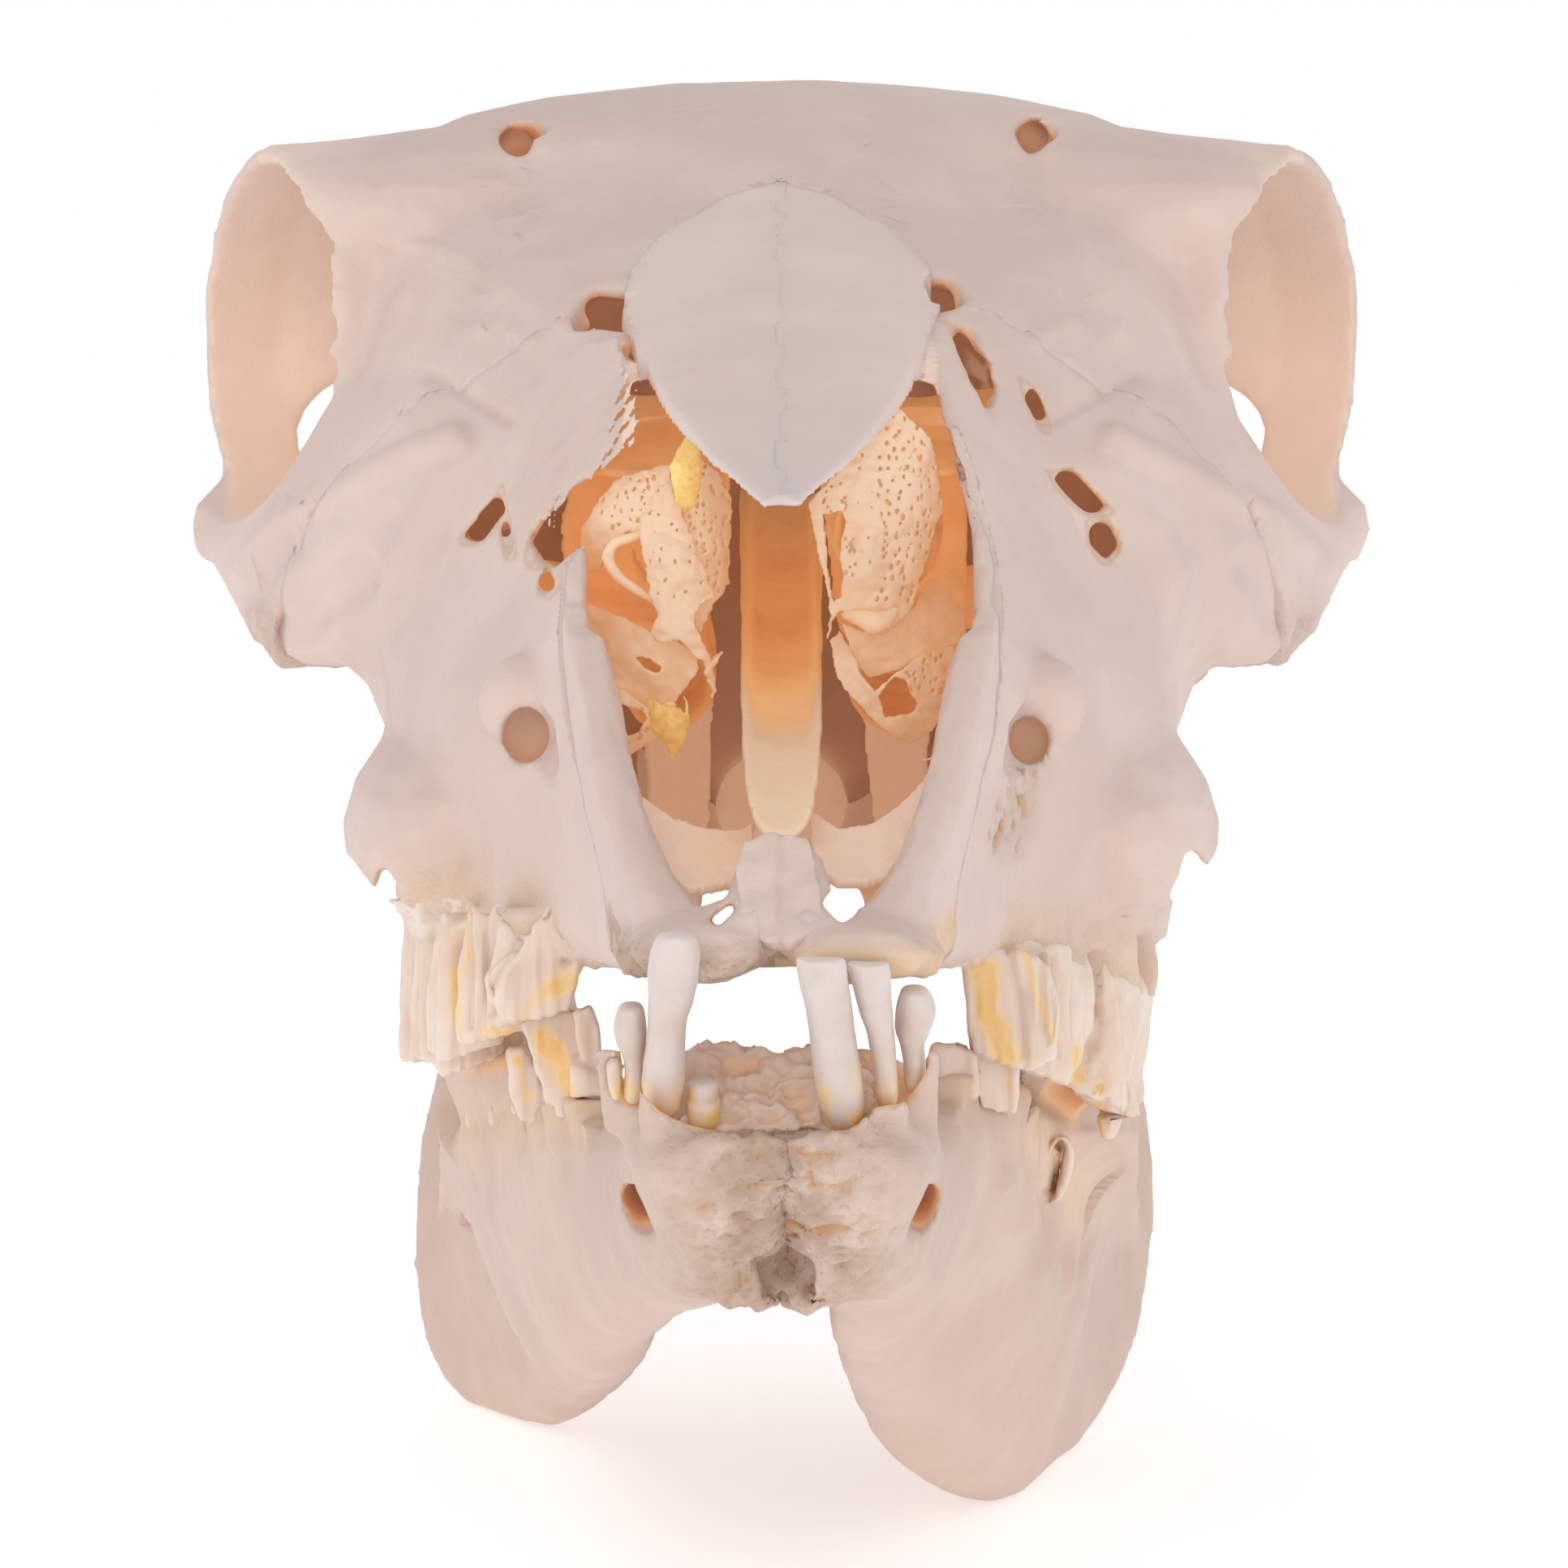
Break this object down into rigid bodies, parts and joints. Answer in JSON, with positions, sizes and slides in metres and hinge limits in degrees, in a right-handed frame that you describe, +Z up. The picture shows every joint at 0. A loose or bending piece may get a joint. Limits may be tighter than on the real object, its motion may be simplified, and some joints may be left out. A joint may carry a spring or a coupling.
{
  "type": "sheep skull",
  "caption": "Life-size skull of a young hornless sheep with both lower jaw halves, parted at its sutures, resting on the angles of the jaw",
  "frame": {"origin": "on the floor, under the middle of the length and the width", "axes": "snout points along -Y, +X is to the right of someone who faces the snout, +Z is up"},
  "size_m": [0.119, 0.2234, 0.1393],
  "materials": {
    "bone": "dry pale bone, slightly porous",
    "face_bone": "smooth pale bone",
    "inner_bone": "thin amber bone inside the nose"
  },
  "bodies": {
    "root": {"cranium": "bone", "nasal_left": "face_bone", "nasal_right": "face_bone", "maxilla_left": "bone", "maxilla_right": "bone", "premaxilla_left": "face_bone", "premaxilla_right": "face_bone", "vomer": "inner_bone", "turbinate_upper_left": "inner_bone", "turbinate_upper_right": "inner_bone", "turbinate_lower_left": "inner_bone", "turbinate_lower_right": "inner_bone", "mandible_left": "bone", "mandible_right": "bone"}
  },
  "joints": []
}
